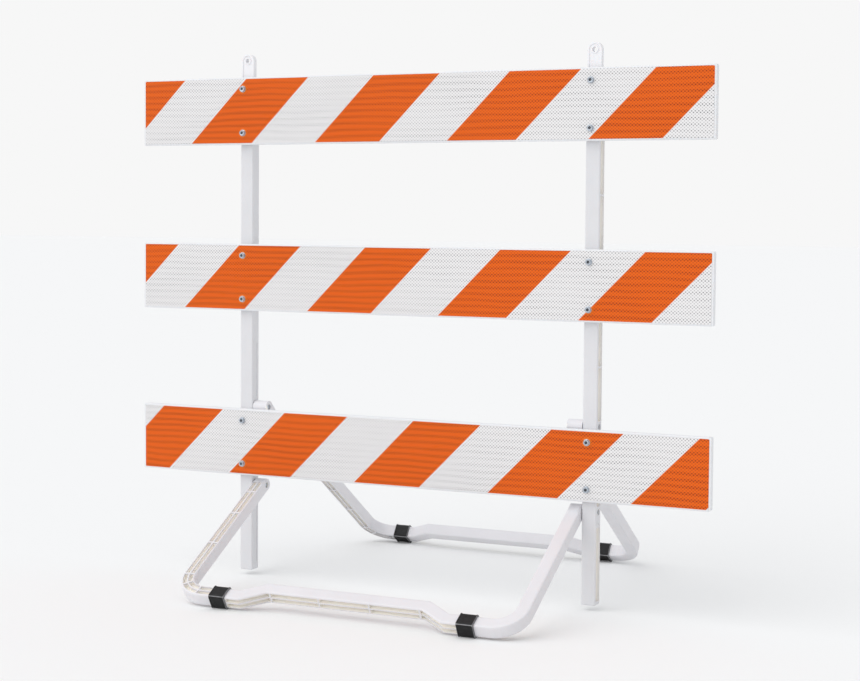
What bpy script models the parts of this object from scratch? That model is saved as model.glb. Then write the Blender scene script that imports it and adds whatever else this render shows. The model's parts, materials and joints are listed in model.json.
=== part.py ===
"""A-frame barricade: three striped boards on two moulded uprights, carried by two folding U-shaped legs.

Units are metres, +Z is up, the striped side faces -Y and the boards run along X.
The uprights stand at plus and minus upright_spacing / 2. Everything is laid out from the boards' front face, at
y = 0, and the finished part is then moved so that its origin lies under the middle of its depth, on the ground.
Each leg is drawn hanging straight down from its pivot line and is then tilted into its open position.
"""

import math

import bmesh
import bpy
from mathutils import Matrix

# ---------------------------------------------------------------- driving sizes
board_length = 1.8288
board_height = 0.2032
board_thick = 0.0225
board_pitch = 0.504
board_top_z = 1.5235
board_wall = 0.003
board_cells = 8
board_corner = 0.003
end_cap_thick = 0.005
end_cap_corner = 0.0046
end_cap_plug = 0.012

sheet_thick = 0.0005
sheet_margin = 0.005

upright_spacing = 1.116
upright_width = 0.043
upright_bottom = 0.016
upright_corner = 0.004
upright_wall = 0.005
upright_pocket = 0.012
tab_thick = 0.018
tab_set = 0.004
tab_height = 0.072
tab_hole = 0.0145

tube = 0.039
tube_corner = 0.0045
tube_wall = 0.005
tube_web = 0.004
pocket_depth = 0.013
rib_width = 0.0045
bend_inner = 0.051
raise_height = 0.040
raise_half = 0.245
kink_run = 0.071

front_tilt = math.radians(61.08)
front_pivot_z = 0.2795
rear_tilt = math.radians(55.83)
rear_pivot_z = 0.520
rear_offset = 0.0198
rear_arm_start = 0.086
knuckle_blend = 0.112
knuckle_tail = 0.150

foot_length = 0.050
foot_wall = 0.004
foot_rim = 0.0011
rib_pitch = 0.143

bolt_d = 0.008
bolt_at = 0.3263
hex_af = 0.0160
flange_d = 0.0194
nut_af = 0.013
nut_high = 0.0075
pin_d = 0.0095
pin_head_d = 0.017
pin_head_high = 0.0035
pin_sink = 0.0075
detent_d = 0.006
detent_drop = 0.034
detent_deep = 0.010

hole_gap = 0.0005
seat_gap = 0.0003
side_gap = 0.0015
nest_gap = 0.0055

# ---------------------------------------------------------------- derived sizes
half_span = upright_spacing / 2
inner_face = half_span - upright_width / 2
outer_face = half_span + upright_width / 2
upright_front = board_thick + seat_gap
upright_depth = tube  # the pivots sit in the middle of both
upright_back = upright_front + upright_depth
half_tube = tube / 2
board_end = board_length / 2 - end_cap_thick - seat_gap
pivot_y = upright_front + upright_depth / 2
board_tops = [board_top_z - i * board_pitch for i in range(3)]
bolt_off = bolt_at * board_height
bolt_heights = [top - board_height / 2 + s * bolt_off for top in board_tops for s in (1, -1)]
front_outer = inner_face - side_gap
knuckle_outer = inner_face - side_gap
rear_outer = front_outer - tube - nest_gap
knuckle_inner = rear_outer - 0.002


def reach_to_ground(pivot_z, tilt, offset=0.0):
    """Distance from a pivot to the foot run's centre line that sets the sleeves on the ground."""
    half = half_tube + foot_wall + foot_rim
    radius = tube_corner + foot_wall
    lowest = (half - radius) * (math.cos(tilt) + math.sin(tilt)) + radius
    return (pivot_z - offset * math.sin(tilt) - lowest) / math.cos(tilt)


front_reach = reach_to_ground(front_pivot_z, front_tilt)
rear_reach = reach_to_ground(rear_pivot_z, rear_tilt, rear_offset)

BOARD_NAMES = ["top", "middle", "bottom"]


# ---------------------------------------------------------------- helpers
def clear_scene():
    for obj in list(bpy.data.objects):
        bpy.data.objects.remove(obj, do_unlink=True)


def material(name, colour, rough, metal=0.0):
    mat = bpy.data.materials.new(name)
    mat.use_nodes = True
    bsdf = mat.node_tree.nodes["Principled BSDF"]
    bsdf.inputs["Base Color"].default_value = (*colour, 1.0)
    bsdf.inputs["Roughness"].default_value = rough
    bsdf.inputs["Metallic"].default_value = metal
    return mat


def build_mesh(name, verts, faces):
    mesh = bpy.data.meshes.new(name)
    mesh.from_pydata([tuple(v) for v in verts], [], faces)
    bm = bmesh.new()
    bm.from_mesh(mesh)
    bmesh.ops.remove_doubles(bm, verts=bm.verts, dist=1e-7)
    bmesh.ops.recalc_face_normals(bm, faces=bm.faces)
    bm.to_mesh(mesh)
    bm.free()
    return mesh


def smooth_by_angle(mesh, degrees=32.0):
    bm = bmesh.new()
    bm.from_mesh(mesh)
    limit = math.radians(degrees)
    for face in bm.faces:
        face.smooth = True
    for edge in bm.edges:
        edge.smooth = len(edge.link_faces) == 2 and edge.calc_face_angle(math.pi) < limit
    bm.to_mesh(mesh)
    bm.free()


def place(name, mesh, mat, matrix=None):
    obj = bpy.data.objects.new(name, mesh)
    bpy.context.scene.collection.objects.link(obj)
    mesh.materials.clear()
    mesh.materials.append(mat)
    if matrix is not None:
        obj.matrix_world = matrix
    return obj


def combine(mesh_list, name="pieces"):
    bm = bmesh.new()
    for mesh in mesh_list:
        bm.from_mesh(mesh)
    out = bpy.data.meshes.new(name)
    bm.to_mesh(out)
    bm.free()
    return out


def boolean(mesh, tool, operation="DIFFERENCE"):
    """Returns the mesh with the tool mesh cut from it or joined to it."""
    a = bpy.data.objects.new("work", mesh)
    b = bpy.data.objects.new("tool", tool)
    bpy.context.scene.collection.objects.link(a)
    bpy.context.scene.collection.objects.link(b)
    mod = a.modifiers.new("op", "BOOLEAN")
    mod.operation = operation
    mod.solver = "EXACT"
    mod.object = b
    bpy.context.view_layer.update()
    graph = bpy.context.evaluated_depsgraph_get()
    result = bpy.data.meshes.new_from_object(a.evaluated_get(graph))
    bpy.data.objects.remove(a, do_unlink=True)
    bpy.data.objects.remove(b, do_unlink=True)
    bm = bmesh.new()
    bm.from_mesh(result)
    bmesh.ops.remove_doubles(bm, verts=bm.verts, dist=2e-7)
    bmesh.ops.dissolve_degenerate(bm, edges=bm.edges, dist=1e-7)
    bmesh.ops.triangulate(bm, faces=[f for f in bm.faces if len(f.verts) > 4])
    bm.to_mesh(result)
    bm.free()
    return result


def rounded_rect(width, height, radius, steps=3):
    """Points of a rectangle with rounded corners, centred on zero, anticlockwise."""
    pts = []
    for cx, cy, start in ((1, 1, 0), (-1, 1, 90), (-1, -1, 180), (1, -1, 270)):
        for i in range(steps + 1):
            angle = math.radians(start + 90.0 * i / steps)
            pts.append((cx * (width / 2 - radius) + radius * math.cos(angle), cy * (height / 2 - radius) + radius * math.sin(angle)))
    return pts


def prism(points, low, high, axis):
    """Solid between two planes across the given axis. The points fill the other two axes in order."""
    def to3(p, h):
        return {"X": (h, p[0], p[1]), "Y": (p[0], h, p[1]), "Z": (p[0], p[1], h)}[axis]

    count = len(points)
    verts = [to3(p, low) for p in points] + [to3(p, high) for p in points]
    faces = [tuple(range(count)), tuple(range(2 * count - 1, count - 1, -1))]
    faces += [(i, (i + 1) % count, count + (i + 1) % count, count + i) for i in range(count)]
    return build_mesh("prism", verts, faces)


def box(x0, x1, y0, y1, z0, z1):
    return prism([(x0, y0), (x1, y0), (x1, y1), (x0, y1)], z0, z1, "Z")


def circle(cx, cy, radius, count=24):
    return [(cx + radius * math.cos(2 * math.pi * i / count), cy + radius * math.sin(2 * math.pi * i / count)) for i in range(count)]


def cylinder(cx, cy, radius, low, high, axis, count=24):
    return prism(circle(cx, cy, radius, count), low, high, axis)


def lathe(profile, count=24):
    """Solid of revolution about Z from (radius, z) points. Radius zero closes the ends."""
    verts, rings, faces = [], [], []
    for radius, z in profile:
        if radius < 1e-9:
            rings.append([len(verts)])
            verts.append((0.0, 0.0, z))
        else:
            rings.append(list(range(len(verts), len(verts) + count)))
            verts += [(x, y, z) for x, y in circle(0, 0, radius, count)]
    pairs = list(zip(rings, rings[1:]))
    if profile[0][0] > 1e-9 and profile[-1][0] > 1e-9:
        pairs.append((rings[-1], rings[0]))
    for a, b in pairs:
        for i in range(count):
            j = (i + 1) % count
            if len(a) == 1 and len(b) > 1:
                faces.append((a[0], b[i], b[j]))
            elif len(b) == 1 and len(a) > 1:
                faces.append((a[i], b[0], a[j]))
            elif len(a) > 1 and len(b) > 1:
                faces.append((a[i], b[i], b[j], a[j]))
    return build_mesh("lathe", verts, faces)


# ---------------------------------------------------------------- boards and sheeting
def cell_spans(mid):
    """Lowest and highest point of each hollow cell of a board centred on this height."""
    pitch = (board_height - board_wall) / board_cells
    lows = [mid - board_height / 2 + board_wall + i * pitch for i in range(board_cells)]
    return [(low, low + pitch - board_wall) for low in lows]


def make_end_cap(name, top, side, mat):
    """Plate with rounded corners that closes one end of a board, with a plug in every cell."""
    mid = top - board_height / 2
    section = [(y + board_thick / 2, z + mid) for y, z in rounded_rect(board_thick, board_height, board_corner, 2)]
    x0, x1 = sorted((side * (board_end + seat_gap), side * board_length / 2))
    mesh = prism(section, x0, x1, "X")
    span = board_length / 2
    face = [(x, z + mid) for x, z in rounded_rect(2 * span, board_height, end_cap_corner, 4)]
    mesh = boolean(mesh, prism(face, -0.01, board_thick + 0.01, "Y"), "INTERSECT")
    plugs = []
    for low, high in cell_spans(mid):
        x0, x1 = sorted((side * (board_end - end_cap_plug), side * (board_end + seat_gap + 0.001)))
        inset = board_wall + hole_gap
        shape = rounded_rect(board_thick - 2 * inset, high - low - 2 * hole_gap, 0.0015, 1)
        plugs.append(prism([(y + board_thick / 2, z + (low + high) / 2) for y, z in shape], x0, x1, "X"))
    mesh = boolean(mesh, combine(plugs), "UNION")
    smooth_by_angle(mesh)
    return place(name, mesh, mat)


def make_board(name, top, mat):
    mid = top - board_height / 2
    section = [(y + board_thick / 2, z + mid) for y, z in rounded_rect(board_thick, board_height, board_corner, 2)]
    mesh = prism(section, -board_end, board_end, "X")
    cells = []
    for low, high in cell_spans(mid):
        shape = rounded_rect(board_thick - 2 * board_wall, high - low, 0.0015, 1)
        cells.append(prism([(y + board_thick / 2, z + (low + high) / 2) for y, z in shape], -board_length / 2 - 0.01, board_length / 2 + 0.01, "X"))
    mesh = boolean(mesh, combine(cells))
    holes = []
    for side in (-1, 1):
        for s in (-1, 1):
            holes.append(cylinder(side * half_span, mid + s * bolt_off, bolt_d / 2 + hole_gap, -0.01, board_thick + 0.01, "Y", 12))
    mesh = boolean(mesh, combine(holes))
    smooth_by_angle(mesh)
    return place(name, mesh, mat)


def make_sheet(name, top, mat):
    mid = top - board_height / 2
    y1 = -seat_gap
    y0 = y1 - sheet_thick
    shape = rounded_rect(board_length - 2 * sheet_margin, board_height - 2 * sheet_margin, 0.003, 2)
    mesh = prism([(x, z + mid) for x, z in shape], y0, y1, "Y")
    holes = []
    for side in (-1, 1):
        for s in (-1, 1):
            holes.append(cylinder(side * half_span, mid + s * bolt_off, bolt_d / 2 + hole_gap, y0 - 0.01, y1 + 0.01, "Y", 12))
    mesh = boolean(mesh, combine(holes))
    smooth_by_angle(mesh)
    return place(name, mesh, mat)


# ---------------------------------------------------------------- uprights
def make_upright(name, side, mat):
    top = board_top_z - 0.004
    mid_y = (upright_front + upright_back) / 2
    body = prism(
        [(x + side * half_span, y + mid_y) for x, y in rounded_rect(upright_width, upright_depth, upright_corner)],
        upright_bottom, top, "Z",
    )
    # The lower end is rounded across the width.
    bm = bmesh.new()
    bm.from_mesh(body)
    ends = [e for e in bm.edges if all(abs(v.co.z - upright_bottom) < 1e-6 for v in e.verts)]
    bmesh.ops.bevel(bm, geom=ends, offset=0.0035, segments=2, affect="EDGES", profile=0.5)
    bm.to_mesh(body)
    bm.free()
    # Light tab: a thinner tongue with a round head.
    head = upright_width / 2 - 0.0008
    centre_z = board_top_z + tab_height - head
    outline = [(side * half_span + head * math.cos(math.radians(a)), centre_z + head * math.sin(math.radians(a))) for a in range(0, 181, 15)]
    outline += [(side * half_span - head, top - 0.02), (side * half_span + head, top - 0.02)]
    tab_front = upright_front + tab_set
    tab = prism(outline, tab_front, tab_front + tab_thick, "Y")
    body = boolean(body, tab, "UNION")
    # Recessed tab face inside a raised rim, with a ring left round the hole.
    inset = 0.0045
    panel = [(side * half_span + (head - inset) * math.cos(math.radians(a)), centre_z + (head - inset) * math.sin(math.radians(a))) for a in range(0, 181, 15)]
    panel += [(side * half_span - head + inset, top + 0.004), (side * half_span + head - inset, top + 0.004)]
    panel = prism(panel, tab_front - 0.01, tab_front + 0.002, "Y")
    ring = cylinder(side * half_span, centre_z, tab_hole / 2 + 0.0035, -0.1, 0.2, "Y", 20)
    panel = boolean(panel, ring)
    body = boolean(body, panel)
    cuts = [cylinder(side * half_span, centre_z, tab_hole / 2, -0.1, 0.2, "Y", 20)]
    for z in bolt_heights:
        cuts.append(cylinder(side * half_span, z, bolt_d / 2 + hole_gap, -0.1, 0.2, "Y", 12))
    body = boolean(body, combine(cuts))
    cuts = []
    for z in (front_pivot_z, rear_pivot_z):
        low, high = sorted((side * (inner_face - 0.01), side * (outer_face + 0.01)))
        cuts.append(cylinder(pivot_y, z, pin_d / 2 + hole_gap, low, high, "X", 16))
    body = boolean(body, combine(cuts))
    cuts = []
    for z in (front_pivot_z, rear_pivot_z):
        low, high = sorted((side * (outer_face - pin_sink), side * (outer_face + 0.01)))
        cuts.append(cylinder(pivot_y, z, pin_head_d / 2 + hole_gap, low, high, "X", 16))
    low, high = sorted((side * (outer_face - detent_deep), side * (outer_face + 0.01)))
    cuts.append(cylinder(pivot_y, front_pivot_z - detent_drop, detent_d / 2, low, high, "X", 12))
    body = boolean(body, combine(cuts))
    # Pockets along the outer side, stopped by solid bosses at every bolt and pivot and by cross ribs.
    solid = [(z - 0.010, z + 0.010) for z in bolt_heights] + [(rear_pivot_z - 0.016, rear_pivot_z + 0.016)]
    solid.append((front_pivot_z - detent_drop - 0.010, front_pivot_z + 0.016))
    solid.sort()
    spans = []
    low = upright_bottom + 0.010
    for a, b in solid + [(top - 0.006, top)]:
        if a - low > 0.020:
            pieces = max(1, round((a - low) / 0.20))
            step = (a - low + rib_width) / pieces
            spans += [(low + i * step, low + (i + 1) * step - rib_width) for i in range(pieces)]
        low = max(low, b)
    width = upright_depth - 2 * upright_wall
    cuts = []
    for a, b in spans:
        shape = rounded_rect(width, b - a, min(0.006, 0.45 * (b - a)), 2)
        x0, x1 = sorted((side * (outer_face - upright_pocket), side * (outer_face + 0.01)))
        cuts.append(prism([(y + mid_y, z + (a + b) / 2) for y, z in shape], x0, x1, "X"))
    body = boolean(body, combine(cuts))
    # Shallow groove down the lower part of the inner side, clear of the washers.
    marks = [front_pivot_z, rear_pivot_z]
    cuts = []
    for a, b in ((upright_bottom + 0.02, marks[0] - 0.03), (marks[0] + 0.03, marks[1] - 0.03), (marks[1] + 0.03, 0.715)):
        if b - a < 0.03:
            continue
        x0, x1 = sorted((side * (inner_face - 0.01), side * (inner_face + 0.0012)))
        shape = rounded_rect(0.009, b - a, 0.004, 2)
        cuts.append(prism([(y + mid_y + 0.004, z + (a + b) / 2) for y, z in shape], x0, x1, "X"))
    body = boolean(body, combine(cuts))
    smooth_by_angle(body)
    return place(name, body, mat)


# ---------------------------------------------------------------- legs
def leg_points(outer, reach):
    """Centre line of one U in (across, down): left arm, bend, foot run, raised run, foot run, bend, right arm."""
    arm = outer - half_tube
    radius = bend_inner + half_tube
    turn = [(-arm + radius - radius * math.cos(math.radians(a)), reach - radius + radius * math.sin(math.radians(a))) for a in (0, 11.25, 22.5, 33.75, 45, 56.25, 67.5, 78.75, 90)]
    left = [(-arm, 0.0)] + turn + [(-(raise_half + kink_run), reach), (-raise_half, reach - raise_height)]
    return left + [(-x, v) for x, v in reversed(left)]


def lengths(points):
    total = [0.0]
    for a, b in zip(points, points[1:]):
        total.append(total[-1] + math.hypot(b[0] - a[0], b[1] - a[1]))
    return total


def stations(points, start, stop):
    """Points and mitred outward directions of the part of the line between two distances."""
    run = lengths(points)
    found = []
    for i, (p, s) in enumerate(zip(points, run)):
        before = points[i - 1] if i > 0 else None
        after = points[i + 1] if i + 1 < len(points) else None
        dirs = []
        for a, b in ((before, p), (p, after)):
            if a is not None and b is not None:
                d = math.hypot(b[0] - a[0], b[1] - a[1])
                dirs.append(((b[0] - a[0]) / d, (b[1] - a[1]) / d))
        tx = sum(d[0] for d in dirs)
        ty = sum(d[1] for d in dirs)
        size = math.hypot(tx, ty)
        out = (-ty / size, tx / size)
        grow = 1.0 / (out[0] * -dirs[0][1] + out[1] * dirs[0][0])
        if start + 1e-6 < s < stop - 1e-6:
            found.append((s, p, (out[0] * grow, out[1] * grow)))
    for cut in (start, stop):
        for i in range(len(run) - 1):
            if run[i] - 1e-9 <= cut <= run[i + 1] + 1e-9:
                k = (cut - run[i]) / (run[i + 1] - run[i])
                a, b = points[i], points[i + 1]
                d = run[i + 1] - run[i]
                t = ((b[0] - a[0]) / d, (b[1] - a[1]) / d)
                found.append((cut, (a[0] + k * (b[0] - a[0]), a[1] + k * (b[1] - a[1])), (-t[1], t[0])))
                break
    return sorted(found)


def at(u, v, n, shift=0.0):
    """Leg coordinates (across, down, outward) to the hanging leg's own frame."""
    return (u, -(n + shift), -v)


def sweep(points, start, stop, section, shift=0.0, round_start=False, round_stop=False):
    """Solid along the line. The section holds (outward across the line, outward from the leg's plane)."""
    rings = stations(points, start, stop)
    count = len(section)
    verts, faces = [], []
    for index, (_, p, out) in enumerate(rings):
        for a, n in section:
            lift = 0.0
            if (index == 0 and round_start) or (index == len(rings) - 1 and round_stop):
                lift = -math.sqrt(max(0.0, half_tube**2 - n**2))
            verts.append(at(p[0] + a * out[0], p[1] + a * out[1] + lift, n, shift))
    for r in range(len(rings) - 1):
        for i in range(count):
            j = (i + 1) % count
            faces.append((r * count + i, r * count + j, (r + 1) * count + j, (r + 1) * count + i))
    for base, rounded in ((0, round_start), ((len(rings) - 1) * count, round_stop)):
        if not rounded:
            faces.append(tuple(base + i for i in range(count)))
            continue
        half = count // 2
        for i in range(half - 1):
            faces.append((base + i, base + i + 1, base + count - 2 - i, base + count - 1 - i))
    return build_mesh("sweep", verts, faces)


def tube_section(radius=tube_corner, size=tube):
    """Rounded square as two matching chains, one up each side, so that rounded ends can be closed with quads."""
    h = size / 2
    chain = []
    for i in range(3):
        a = math.radians(-90 + 45 * i)
        chain.append((h - radius + radius * math.cos(a), -h + radius + radius * math.sin(a)))
    for k in (-0.45, 0.0, 0.45):
        chain.append((h, k * h * 1.1))
    for i in range(3):
        a = math.radians(45 * i)
        chain.append((h - radius + radius * math.cos(a), h - radius + radius * math.sin(a)))
    return chain + [(-x, n) for x, n in reversed(chain)]


def channel(face, low, high):
    """Section of one pocket, open through the named face of the tube."""
    deep, past = half_tube - pocket_depth, half_tube + 0.004
    if face == "outward":
        return [(low, deep), (high, deep), (high, past), (low, past)]
    if face == "inward":
        return [(low, -past), (high, -past), (high, -deep), (low, -deep)]
    return [(deep, low), (past, low), (past, high), (deep, high)]


def make_leg(name, outer, reach, mat, shift=0.0, arm_start=0.0, knuckles=False):
    points = leg_points(outer, reach)
    run = lengths(points)
    total = run[-1]
    arm_len = run[1]
    bend_end, kink, raised = run[9:12]
    body = sweep(points, arm_start, total - arm_start, tube_section(), shift, True, True)
    side_wall = half_tube - tube_wall
    web = tube_web / 2
    foot_mid = (bend_end + kink) / 2
    foot_lo, foot_hi = foot_mid - foot_length / 2, foot_mid + foot_length / 2
    first = arm_start + (0.010 if not knuckles else 0.10)
    # Cross ribs down an arm, round the bend and out to the foot.
    spans = []
    marks = [first, first + 0.050]
    lowest = arm_len + 0.006
    marks += [lowest - i * rib_pitch for i in range(int((lowest - first - 0.080) / rib_pitch), -1, -1)]
    marks += [arm_len + (bend_end - arm_len) * 0.4375, arm_len + (bend_end - arm_len) * 0.9375, foot_lo]
    for a, b in zip(marks, marks[1:]):
        spans.append((a + rib_width / 2, b - rib_width / 2))
    cuts = []
    for a, b in spans:
        for low, high in ((-side_wall, -web), (web, side_wall)):
            cuts.append(sweep(points, a, b, channel("outward", low, high), shift))
            cuts.append(sweep(points, total - b, total - a, channel("inward", low, high), shift))
    # Pockets of the raised middle run open through its lower edge.
    mids = [foot_hi, raised + 0.014]
    inner = 0.078
    middle = total / 2
    mids += [middle - inner, middle + inner, total - raised - 0.014, total - foot_hi]
    for a, b in zip(mids, mids[1:]):
        for low, high in ((-side_wall, -web), (web, side_wall)):
            cuts.append(sweep(points, a + rib_width / 2, b - rib_width / 2, channel("edge", low, high), shift))
    for cut in cuts:
        body = boolean(body, cut)
    ends = []
    if knuckles:
        # Each arm steps outward at the top so that its pivot reaches the upright.
        slim = half_tube - 0.001
        outline = [(half_tube * math.sin(math.radians(i)), -half_tube * math.cos(math.radians(i))) for i in range(-90, 91, 18)]
        outline += [(shift + slim, knuckle_blend), (shift + slim, knuckle_tail), (shift - slim, knuckle_tail), (shift - slim, knuckle_blend)]
        for side in (-1, 1):
            x0, x1 = sorted((side * knuckle_inner, side * knuckle_outer))
            ends.append(prism([(-n, -v) for n, v in outline], x0, x1, "X"))
        body = boolean(body, combine(ends), "UNION")
    bore = []
    width_in, width_out = (knuckle_inner, knuckle_outer) if knuckles else (outer - tube, outer)
    for side in (-1, 1):
        low, high = sorted((side * (width_in - 0.01), side * (width_out + 0.01)))
        bore.append(cylinder(0.0, 0.0, pin_d / 2 + hole_gap, low, high, "X", 16))
    body = boolean(body, combine(bore))
    sink = []
    for side in (-1, 1):
        low, high = sorted((side * (width_in - 0.01), side * (width_in + pin_sink)))
        sink.append(cylinder(0.0, 0.0, pin_head_d / 2 + hole_gap, low, high, "X", 16))
    body = boolean(body, combine(sink))
    smooth_by_angle(body)
    return body, points, foot_mid


def make_foot(points, where, shift):
    """Rubber sleeve round the tube, a little thicker at both ends."""
    inner = [(a, n) for a, n in rounded_rect(tube + 2 * seat_gap, tube + 2 * seat_gap, tube_corner, 2)]
    rings = []
    half = foot_length / 2
    for s, grow in ((-half, 0.0), (-half, foot_rim), (-half + 0.004, foot_rim), (-half + 0.006, 0.0), (half - 0.006, 0.0), (half - 0.004, foot_rim), (half, foot_rim), (half, 0.0)):
        size = tube + 2 * (foot_wall + grow)
        rings.append((s, rounded_rect(size, size, tube_corner + foot_wall, 2)))
    rings = [rings[1], rings[2], rings[3], rings[4], rings[5], rings[6]]
    loops = [(-half, inner)] + rings + [(half, inner)]
    verts, faces = [], []
    count = len(inner)
    for s, ring in loops:
        _, p, out = stations(points, where + s, where + s + 1e-4)[0]
        for a, n in ring:
            verts.append(at(p[0] + a * out[0], p[1] + a * out[1], n, shift))
    total = len(loops)
    for r in range(total):
        q = (r + 1) % total
        for i in range(count):
            j = (i + 1) % count
            faces.append((r * count + i, r * count + j, q * count + j, q * count + i))
    mesh = build_mesh("foot", verts, faces)
    smooth_by_angle(mesh)
    return mesh


# ---------------------------------------------------------------- fasteners
def hex_points(across_flats):
    r = across_flats / math.sqrt(3)
    return [(r * math.cos(math.radians(60 * i + 30)), r * math.sin(math.radians(60 * i + 30))) for i in range(6)]


def bolt_mesh():
    """Flanged hex bolt along +Z from under its head, with a dished top."""
    grip = seat_gap + sheet_thick + seat_gap
    length = grip + board_thick + seat_gap + upright_depth + seat_gap + nut_high + 0.004
    body = lathe([(0.0, length), (bolt_d / 2 - 0.0008, length), (bolt_d / 2, length - 0.0012), (bolt_d / 2, 0.0), (flange_d / 2, 0.0), (flange_d / 2, -0.0012), (hex_af / 2, -0.0022), (0.0, -0.0022)], 16)
    head = prism(hex_points(hex_af), -0.0072, -0.0015, "Z")
    body = boolean(body, head, "UNION")
    dish = lathe([(0.0, -0.0060), (0.0030, -0.0060), (0.0050, -0.0074), (0.0050, -0.0090), (0.0, -0.0090)], 12)
    body = boolean(body, dish)
    smooth_by_angle(body)
    return body


def nut_mesh():
    body = lathe([(0.0, 0.0), (nut_af * 0.68, 0.0), (nut_af * 0.68, 0.0012), (nut_af * 0.5, 0.0022), (0.0, 0.0022)], 16)
    body = boolean(body, prism(hex_points(nut_af), 0.0015, nut_high, "Z"), "UNION")
    body = boolean(body, cylinder(0.0, 0.0, bolt_d / 2 + seat_gap, -0.01, nut_high + 0.01, "Z", 12))
    smooth_by_angle(body)
    return body


def pin_mesh(length):
    """Pivot pin along +Z from under its domed head."""
    r = pin_d / 2
    head = pin_head_d / 2
    body = lathe([(0.0, length), (r - 0.001, length), (r, length - 0.001), (r, 0.0), (head, 0.0), (head, -pin_head_high * 0.55), (head * 0.75, -pin_head_high), (0.0, -pin_head_high)], 16)
    smooth_by_angle(body)
    return body


def cap_mesh():
    """Push-on retaining cap for the end of a pin."""
    r = pin_d / 2 + seat_gap
    out = pin_head_d / 2
    body = lathe([(r, 0.0), (out, 0.0), (out, 0.0012), (out * 0.78, 0.0032), (r, 0.0032)], 16)
    smooth_by_angle(body)
    return body


def washer_mesh():
    r = pin_d / 2 + hole_gap
    body = lathe([(r, 0.0), (0.012, 0.0), (0.012, side_gap - 2 * seat_gap), (r, side_gap - 2 * seat_gap)], 16)
    smooth_by_angle(body)
    return body


# ---------------------------------------------------------------- assembly
clear_scene()

plastic = material("white_plastic", (0.82, 0.81, 0.80), 0.45)
leg_plastic = material("leg_plastic", (0.80, 0.79, 0.79), 0.48)
board_plastic = material("board_plastic", (0.84, 0.84, 0.84), 0.42)
sheeting = material("striped_sheeting", (0.86, 0.36, 0.10), 0.35)
rubber = material("black_rubber", (0.03, 0.03, 0.03), 0.7)
steel = material("zinc_steel", (0.55, 0.57, 0.60), 0.3, 1.0)

for label, top in zip(BOARD_NAMES, board_tops):
    make_board("board_" + label, top, board_plastic)
    for end, side in (("left", -1), ("right", 1)):
        make_end_cap("board_cap_%s_%s" % (label, end), top, side, board_plastic)
    make_sheet("sheeting_" + label, top, sheeting)

for label, side in (("left", -1), ("right", 1)):
    make_upright("upright_" + label, side, plastic)

# The front leg opens toward -Y and the rear leg toward +Y. The rear one is the same kind of moulding turned half round.
front_matrix = Matrix.Translation((0.0, pivot_y, front_pivot_z)) @ Matrix.Rotation(-front_tilt, 4, "X")
rear_matrix = Matrix.Translation((0.0, pivot_y, rear_pivot_z)) @ Matrix.Rotation(math.pi, 4, "Z") @ Matrix.Rotation(-rear_tilt, 4, "X")

front_mesh, front_points, front_foot = make_leg("leg_front", front_outer, front_reach, leg_plastic)
place("leg_front", front_mesh, leg_plastic, front_matrix)
rear_mesh, rear_points, rear_foot = make_leg("leg_rear", rear_outer, rear_reach, leg_plastic, -rear_offset, rear_arm_start, True)
place("leg_rear", rear_mesh, leg_plastic, rear_matrix)

for which, points, mid, matrix, shift in (
    ("front", front_points, front_foot, front_matrix, 0.0),
    ("rear", rear_points, rear_foot, rear_matrix, -rear_offset),
):
    total = lengths(points)[-1]
    turned = which == "rear"
    for label, where in (("left", total - mid if turned else mid), ("right", mid if turned else total - mid)):
        place("foot_%s_%s" % (which, label), make_foot(points, where, shift), rubber, matrix)

bolt = bolt_mesh()
nut = nut_mesh()
face_y = -seat_gap - sheet_thick - seat_gap
for label, side in (("left", -1), ("right", 1)):
    for board, top in zip(BOARD_NAMES, board_tops):
        for edge, s in (("upper", 1), ("lower", -1)):
            z = top - board_height / 2 + s * bolt_off
            turn = Matrix.Rotation(math.radians(-90), 4, "X")
            place("bolt_%s_%s_%s" % (board, edge, label), bolt, steel, Matrix.Translation((side * half_span, face_y, z)) @ turn)
            place("nut_%s_%s_%s" % (board, edge, label), nut, steel, Matrix.Translation((side * half_span, upright_back + seat_gap, z)) @ turn)

washer = washer_mesh()
cap = cap_mesh()
for which, z, width_in, width_out in (
    ("front", front_pivot_z, front_outer - tube, front_outer),
    ("rear", rear_pivot_z, knuckle_inner, knuckle_outer),
):
    seat = outer_face - pin_sink + seat_gap
    floor = width_in + pin_sink
    pin = pin_mesh(seat - floor + 0.0045)
    for label, side in (("left", -1), ("right", 1)):
        inward = Matrix.Rotation(math.radians(-90 * side), 4, "Y")
        place("pin_%s_%s" % (which, label), pin, steel, Matrix.Translation((side * seat, pivot_y, z)) @ inward)
        place("cap_%s_%s" % (which, label), cap, steel, Matrix.Translation((side * (floor - seat_gap), pivot_y, z)) @ inward)
        place("washer_%s_%s" % (which, label), washer, steel, Matrix.Translation((side * (inner_face - seat_gap), pivot_y, z)) @ inward)

# The origin goes to the middle of the whole depth, at the lowest point of the sleeves.
bpy.context.view_layer.update()
parts = [obj for obj in bpy.context.scene.objects if obj.type == "MESH"]
spots = [obj.matrix_world @ vertex.co for obj in parts for vertex in obj.data.vertices]
middle_y = (min(p.y for p in spots) + max(p.y for p in spots)) / 2
lowest_z = min(p.z for p in spots)
for obj in parts:
    obj.location.y -= middle_y
    obj.location.z -= lowest_z
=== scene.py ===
import itertools
import json
import math

import bmesh
import bpy
from mathutils import Matrix, Vector


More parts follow.
